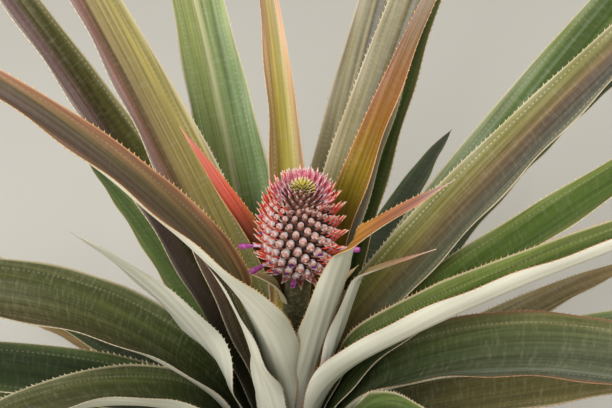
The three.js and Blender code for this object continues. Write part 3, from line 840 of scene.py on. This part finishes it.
# %% The core and the spiral
FRUIT_HEIGHT = 96
FRUIT_RADIUS = 31
FRUITLETS = 170
YOUNG_BRACTS = 80
GROWN_HEIGHTS = (0.04, 0.89)
YOUNG_HEIGHTS = (0.89, 0.985)
TOP_CROWDING = 1.5
CORE_SINK = 6.5
CORE_SPAN = (0.02, 0.97)
CORE_RINGS = 25
FRUIT_SMOOTH_ANGLE = math.radians(50)


def fruit_radius(height):
    swell = 1 - abs(2 * max(height, 0) ** 0.93 - 1) ** 2.3
    return FRUIT_RADIUS * math.sqrt(max(swell, 0))


core_rings = []
for height in np.linspace(*CORE_SPAN, CORE_RINGS):
    core_rings.append((max(fruit_radius(height) - CORE_SINK, 3), height * FRUIT_HEIGHT))
fruit_core = round_body("fruit_core", core_rings, 48)
only(fruit_core)
bpy.ops.object.shade_smooth_by_angle(angle=SMOOTH_ANGLE)
fruit_place = Matrix.Translation(FRUIT_BASE * MM) @ Matrix.Rotation(FRUIT_LEAN, 4, "Y")
fruit_core.data.transform(fruit_place)
# painted shade: the sunk core is dark brown, so the gaps between the fruitlets show dark like shade
wear(fruit_core, "fruit", "fruit", mottled_finish(
    "fruit core, dark brown between the fruitlets", ["#2c1a14", "#40281e", "#5a3a2c"], 2, 0.8, 0.3))


def fruitlet_frame(k, height):
    around = math.radians(GOLDEN_ANGLE * k)
    slope = (fruit_radius(height + 0.01) - fruit_radius(height - 0.01)) / (0.02 * FRUIT_HEIGHT)
    tilt = math.atan(-slope)
    radius = fruit_radius(height)
    out = Vector((math.cos(tilt) * math.cos(around), math.cos(tilt) * math.sin(around), math.sin(tilt)))
    place = Vector((radius * math.cos(around), radius * math.sin(around), height * FRUIT_HEIGHT))
    side = Vector((0, 0, 1)).cross(out).normalized()
    return height, place, out, side


def set_frame(place, forward, side):
    up = forward.cross(side)
    turn = Matrix((side, up, forward)).transposed().to_4x4()
    return Matrix.Translation(place) @ turn


def planted(name, master, frames, *materials):
    own = np.c_[coordinates(master.data), np.ones(len(master.data.vertices))]
    faces = [list(face.vertices) for face in master.data.polygons]
    kinds = [face.material_index for face in master.data.polygons]
    places, corners = [], []
    for number, frame_matrix in enumerate(frames):
        whole = fruit_place @ Matrix.Scale(MM, 4) @ frame_matrix
        places.append((own @ np.array(whole).T)[:, :3])
        corners += [[v + number * len(own) for v in face] for face in faces]
    mesh = bpy.data.meshes.new(name)
    mesh.from_pydata(np.concatenate(places), [], corners)
    mesh.polygons.foreach_set("material_index", np.tile(kinds, len(frames)))
    piece = in_scene(name, mesh)
    only(piece)
    bpy.ops.object.shade_smooth_by_angle(angle=FRUIT_SMOOTH_ANGLE)
    wear(piece, "fruit", "fruit", *materials)
    return piece


def up_the_spiral(first, count, heights, crowding):
    shares = [1 - (1 - (i + 0.5) / count) ** crowding for i in range(count)]
    return [fruitlet_frame(first + i, lerp(*heights, share)) for i, share in enumerate(shares)]


spiral = up_the_spiral(0, FRUITLETS, GROWN_HEIGHTS, TOP_CROWDING)
young_spiral = up_the_spiral(FRUITLETS, YOUNG_BRACTS, YOUNG_HEIGHTS, 1)
print("the first fruitlet sits", round(spiral[0][0] * FRUIT_HEIGHT, 1), "mm up the fruit")

# %% [markdown]
# The shield is a disc of twelve sides that is extruded up in three steps and drawn in
# towards its top. Every other corner of its upper rings is pulled in and down, which leaves six lobes
# with grooves between them. Three of the lobes are edges of sepals and covered with white
# down, and the three between them are pink.

# %% The shield of a fruitlet
SHIELD_RINGS = [(4.3, -3), (5.1, 0.2), (4.7, 1.6), (2.4, 2.8)]
GROOVE = 0.66

shield_master = drawn_up(12, SHIELD_RINGS)
bpy.ops.mesh.poke()
close_up()
for vertex in shield_master.data.vertices:
    corner = round(math.degrees(math.atan2(vertex.co.y, vertex.co.x)) / 30)
    from_axis = math.hypot(vertex.co.x, vertex.co.y)
    vertex.select = corner % 2 == 1 and vertex.co.z > 0 and from_axis > 1
bpy.ops.object.mode_set(mode="EDIT")
bpy.ops.transform.resize(value=(GROOVE, GROOVE, 0.85), center_override=(0, 0, 0))
bpy.ops.object.mode_set(mode="OBJECT")
for face in shield_master.data.polygons:
    lobe = math.floor(math.degrees(math.atan2(face.center.y, face.center.x)) / 60 + 0.5)
    face.material_index = lobe % 2
print("shield has", len(shield_master.data.polygons), "faces")

# %% [markdown]
# Bracts, sepals and crown leaves are all pointed scales, a hollow blade that narrows to a
# tip. One helper models such a scale from a small grid: each row is drawn out to its width,
# its edges are lifted to a trough, and the row is carried to its place on the curve of the
# scale. A Solidify modifier then gives it a thickness. The outside of a bract is dusty with
# scales, its inside is coral red, and its tip is pale, so the faces get three finishes.

# %% Pointed scales
def scale_master(length, widths, curve, cup, thickness, tip_share):
    rows = len(widths) - 1
    bpy.ops.mesh.primitive_grid_add(x_subdivisions=4, y_subdivisions=rows, size=1, calc_uvs=False)
    piece = bpy.context.object
    for vertex in piece.data.vertices:
        row = round((vertex.co.y + 0.5) * rows)
        share = row / rows
        across = 2 * vertex.co.x
        lift = cup * across ** 2 * widths[row] / widths[0]
        vertex.co = (across * widths[row] / 2, curve * share ** 2 + lift, length * share)
    only(piece)
    solid = piece.modifiers.new("thickness", "SOLIDIFY")
    solid.thickness = thickness
    solid.offset = 0
    bpy.ops.object.modifier_apply(modifier=solid.name)
    close_up()
    for face in piece.data.polygons:
        inside = face.normal.y > 0.2
        pale = face.center.z > (1 - tip_share) * length
        face.material_index = 2 if pale else 1 if inside else 0
    return piece


bract_master = scale_master(18, [7.8, 7.6, 6.2, 4.2, 2.0, 0.3], 1.6, 2.4, 0.5, 0.3)
sepal_master = scale_master(3.6, [3.2, 3.8, 2.6, 0.4], 0.5, 0.7, 0.5, 0.45)
crown_master = scale_master(6.6, [2.3, 2.3, 1.8, 1.1, 0.3], -1.4, 0.5, 0.35, 0.22)
print("bract has", len(bract_master.data.polygons), "faces")

# %% [markdown]
# The bracts are coral red on the fruit's sides and back. On the front, the side that faces
# the camera, they are salmon and brown, so those are planted as pieces of their own.

# %% Plant the fruitlets
SEAT_DEPTH = 2.6
BRACT_DEPTH = 3.5
BRACT_DROP = 6.2
SEPAL_SEAT = Vector((0, -2.7, 1.6))
SEPAL_LEAN = math.radians(-52)
FRONT_HALF_ANGLE = 48
FRUITLET_SIZES, SHRINK_SPAN = (1.06, 0.6), (0.5, 0.92)
BRACT_CLIMB, BRACT_LENGTHS = (-14, 64), (1.12, 0.62)
YOUNG_CLIMB, YOUNG_SIZES, YOUNG_LENGTHS = (50, 74), (0.6, 0.42), (0.58, 0.44)


def fruitlet_size(height):
    return lerp(*FRUITLET_SIZES, smooth(height, *SHRINK_SPAN))


# the bracts within this angle of the fruit's front get the salmon and brown finish
def is_in_front(place):
    from_front = math.degrees(math.atan2(place.x, -place.y))
    return abs(from_front) < FRONT_HALF_ANGLE + jitter(14)


def jitter(amount):
    return random.uniform(-amount, amount)


def climbing(around, climb):
    flat = math.cos(climb)
    return Vector((flat * math.cos(around), flat * math.sin(around), math.sin(climb)))


def bract_frame(place, out, side, climb, size, length):
    aim = climbing(math.atan2(place.y, place.x) + math.radians(jitter(4)), math.radians(climb + jitter(4)))
    foot = place - out.cross(side) * BRACT_DROP * size - out * BRACT_DEPTH * size
    return set_frame(foot, aim, side) @ Matrix.Diagonal((size, size, length * random.uniform(0.92, 1.06), 1))


shields, sepals, bracts, front_bracts, young_bracts, front_young_bracts = [], [], [], [], [], []
for height, place, out, side in spiral:
    size = fruitlet_size(height) * random.uniform(0.94, 1.05)
    twist = Matrix.Rotation(math.radians(jitter(14)), 4, "Z")
    seat = place - out * SEAT_DEPTH
    shields.append(set_frame(seat, out, side) @ twist @ Matrix.Scale(size, 4))
    for petal in range(3):
        round_about = Matrix.Rotation(math.radians(120 * petal + 30 + jitter(8)), 4, "Z")
        lean_in = Matrix.Translation(SEPAL_SEAT * size) @ Matrix.Rotation(SEPAL_LEAN, 4, "X")
        sepals.append(set_frame(seat, out, side) @ round_about @ lean_in @ Matrix.Scale(size, 4))
    kind = front_bracts if is_in_front(place) else bracts
    climb = lerp(*BRACT_CLIMB, height ** 0.5)
    kind.append(bract_frame(place, out, side, climb, size, lerp(*BRACT_LENGTHS, height)))
for height, place, out, side in young_spiral:
    share = (height - YOUNG_HEIGHTS[0]) / (YOUNG_HEIGHTS[1] - YOUNG_HEIGHTS[0])
    kind = front_young_bracts if is_in_front(place) else young_bracts
    kind.append(bract_frame(
        place, out, side, lerp(*YOUNG_CLIMB, share), lerp(*YOUNG_SIZES, share), lerp(*YOUNG_LENGTHS, share)))

SKINS = {
    "fruitlet": [("fruitlet skin, salmon pink", ["#b4867c", "#dcb8ae", "#f0e0da"], 1.6, 0.7, 0.3),
                 ("fruitlet skin, white down", ["#c0b2b2", "#e0d6d7", "#f4f0f0"], 1.6, 0.8, 0.3)],
    "sepal": [("sepal outside, salmon rose", ["#a86e62", "#c89082", "#dcb4a8"], 1.4, 0.7, 0.2),
              ("sepal lining, rosy", ["#a06458", "#c08478", "#d8ac9e"], 1.4, 0.7, 0.2),
              ("sepal tip, downy white", ["#ccb2ac", "#e2d4d0", "#f2ebea"], 1.2, 0.8, 0.2)],
    "coral": [("bract outside, coral", ["#cc4638", "#ea6452", "#f29080"], 1.8, 0.6, 0.2),
              ("bract lining, coral red", ["#dc3e30", "#f25a48", "#f6846e"], 2.4, 0.5, 0.2),
              ("bract tip, pale horn", ["#f0a084", "#f6ccb0", "#fae6d2"], 2, 0.55, 0.2)],
    "frontal": [("front bract outside, brown-rose", ["#7c4a3e", "#a06858", "#bc8c7c"], 1.8, 0.7, 0.2),
              ("front bract lining, salmon", ["#8c4c40", "#b07262", "#cc9a8a"], 2.4, 0.7, 0.2),
              ("front bract tip, pale", ["#c89c8c", "#dcc0b2", "#ecdcd2"], 2, 0.7, 0.2)],
    "pink": [("young bract outside, pink", ["#c06470", "#d88890", "#e8b2b6"], 1.8, 0.6, 0.2),
             ("young bract lining, rose", ["#c86074", "#de8292", "#ecb0b8"], 2.4, 0.5, 0.2),
             ("young bract tip, near white", ["#e0b4bc", "#f2dce0", "#fcf6f6"], 2, 0.55, 0.2)],
}
skins = {kind: [mottled_finish(*row) for row in rows] for kind, rows in SKINS.items()}
planted("fruitlets", shield_master, shields, *skins["fruitlet"])
planted("sepals", sepal_master, sepals, *skins["sepal"])
planted("bracts", bract_master, bracts, *skins["coral"])
planted("front_bracts", bract_master, front_bracts, *skins["frontal"])
planted("young_bracts", bract_master, young_bracts, *skins["pink"])
planted("front_young_bracts", bract_master, front_young_bracts, *skins["frontal"])
print(len(shields), "fruitlets,", len(bracts), "coral and", len(front_bracts), "front bracts")

# %% [markdown]
# At the top sits the bud of the crown, a tuft of small yellow-green leaves that has only
# begun to grow. It is the same pointed scale, set round the top of the axis, the inner ones
# upright and the outer ones leaning out.

# %% The crown
CROWN_LEAVES = 64
CROWN_RADIUS = 7.5
CROWN_CLIMB = (84, 44)
CROWN_SINK, CROWN_DROP = 4, 3
crown = []
for k in range(CROWN_LEAVES):
    around = math.radians(GOLDEN_ANGLE * k)
    share = (k / CROWN_LEAVES) ** 0.6
    aim = climbing(around + math.radians(jitter(14)), math.radians(lerp(*CROWN_CLIMB, share) + jitter(8)))
    radial = climbing(around, 0)
    side = Vector((0, 0, 1)).cross(radial)
    place = radial * lerp(0.5, CROWN_RADIUS, share)
    place.z = FRUIT_HEIGHT - CROWN_SINK - CROWN_DROP * share ** 2
    crown.append(set_frame(place, aim, side) @ Matrix.Scale(lerp(1, 0.8, share), 4))
planted(
    "crown_leaves", crown_master, crown,
    mottled_finish("crown leaf back, olive-yellow", ["#8c8826", "#b0a836", "#ccc058"], 2, 0.5, 0.2),
    mottled_finish("crown leaf, yellow-green", ["#a89e34", "#c8bc4c", "#dcd274"], 2, 0.5, 0.2),
    mottled_finish("crown leaf tip, rosy yellow", ["#d0a888", "#e0c4a4", "#ecdcc0"], 2, 0.5, 0.2))
print(len(crown), "crown leaves")

# %% [markdown]
# A flower lives for a day. It is a narrow tube of three petals, white at the foot and
# violet towards the mouth, that pushes out between the sepals. Its tube is extruded ring by
# ring from a circle of six sides, and every other corner of the mouth is drawn out into the
# point of a petal. Where a flower has not opened yet, a dark violet bud shows.

# %% The flowers
FLOWERS = [(182, 0.31, 0.2), (207, 0.26, 0.25), (264, 0.14, 0.8), (326, 0.28, 0.3), (344, 0.42, 0.35),
           (60, 0.26, 0.2), (92, 0.34, 0.2), (140, 0.28, 0.2)]
BUDS = [(186, 0.29), (222, 0.33), (246, 0.27), (286, 0.35), (168, 0.44), (296, 0.5), (200, 0.12), (232, 0.14),
        (256, 0.34), (310, 0.2), (340, 0.34), (60, 0.26), (110, 0.3), (120, 0.2)]
FLOWER_RINGS = [(1.8, 0), (2.2, 6), (3.7, 11), (4.2, 15), (3.2, 18)]
MOUTH_HEIGHT = 18
PETAL_THICKNESS = 0.6
THROAT_DEPTH = 4
WHITE_FOOT = 9
PETAL_POINT = 4.5

flower_master = drawn_up(6, FLOWER_RINGS)
bpy.ops.mesh.inset(thickness=PETAL_THICKNESS)
bpy.ops.mesh.extrude_region_move(TRANSFORM_OT_translate={"value": (0, 0, -THROAT_DEPTH)})
bpy.ops.transform.resize(value=(0.5, 0.5, 1), center_override=(0, 0, 15))
close_up()
for vertex in flower_master.data.vertices:
    corner = round(math.degrees(math.atan2(vertex.co.y, vertex.co.x)) / 60)
    vertex.select = corner % 2 == 0 and vertex.co.z > MOUTH_HEIGHT - 1
bpy.ops.object.mode_set(mode="EDIT")
bpy.ops.transform.translate(value=(0, 0, PETAL_POINT))
bpy.ops.transform.resize(value=(0.6, 0.6, 1), center_override=(0, 0, MOUTH_HEIGHT))
bpy.ops.object.mode_set(mode="OBJECT")
for face in flower_master.data.polygons:
    face.material_index = 0 if face.center.z < WHITE_FOOT else 1


def nearest_fruitlet(azimuth, height):
    wanted = climbing(math.radians(azimuth), 0) * fruit_radius(height)
    wanted.z = height * FRUIT_HEIGHT
    return min(spiral, key=lambda row: (row[1] - wanted).length)


open_flowers = []
for azimuth, height, lift in FLOWERS:
    _, place, out, side = nearest_fruitlet(azimuth, height)
    aim = (out + Vector((0, 0, lift + jitter(0.1)))).normalized()
    size = Matrix.Scale(random.uniform(0.95, 1.05), 4)
    open_flowers.append(set_frame(place - out * SEAT_DEPTH, aim, side) @ size)
flower_foot = mottled_finish("petal foot, lilac white", ["#c9a0cc", "#dcc0e0", "#ecdff0"], 2, 0.5, 0.1)
flower_skin = mottled_finish("petal, magenta violet", ["#8c2c80", "#aa4898", "#c87ab8"], 2.5, 0.45, 0.1)
planted("flowers", flower_master, open_flowers, flower_foot, flower_skin)

BUD_LENGTH = 4.4
BUD_LIFT = 1.8
bpy.ops.mesh.primitive_cone_add(vertices=6, radius1=1.7, radius2=0.8, depth=BUD_LENGTH)
bud_master = bpy.context.object
buds = []
for azimuth, height in BUDS:
    _, place, out, side = nearest_fruitlet(azimuth, height)
    buds.append(set_frame(place + out * BUD_LIFT, out, side))
bud_skin = mottled_finish("flower bud, dark violet", ["#2e1a5c", "#4a2a80", "#6c3f9c"], 2, 0.4, 0.1)
planted("flower_buds", bud_master, buds, bud_skin)
for master in (shield_master, bract_master, sepal_master, crown_master, flower_master, bud_master):
    bpy.data.objects.remove(master)
print(len(open_flowers), "flowers and", len(buds), "buds")

# %% [markdown]
# The stage is a plain pale floor under soft studio light: a broad lamp high on the left in
# front, a weaker one from the right, and a pale sky all round that fills the shadows
# between the leaves.

# %% Floor and light
bpy.ops.mesh.primitive_plane_add(size=8, location=(0, 0, 0))
floor = bpy.context.object
floor.name = "floor"
floor_material, _, floor_shader = new_finish("matt plaster floor", 0.9)
floor_shader.inputs["Base Color"].default_value = linear("#cfcdc6")
floor.data.materials.append(floor_material)


def lamp(name, place, size, power):
    data = bpy.data.lights.new(name, "AREA")
    data.size = size
    data.energy = power
    light = in_scene(name, data)
    light.location = place
    light.rotation_mode = "QUATERNION"
    light.rotation_quaternion = (AIM - Vector(place)).to_track_quat("-Z", "Y")


lamp("key_lamp", (-0.9, -1.5, 2.1), 1.4, 62)
lamp("fill_lamp", (1.8, 0.2, 2.0), 1.8, 24)
world = bpy.data.worlds.new("studio")
bpy.context.scene.world = world
world.use_nodes = True
world.node_tree.nodes["Background"].inputs[0].default_value = linear("#efe9dc")
world.node_tree.nodes["Background"].inputs[1].default_value = 0.5
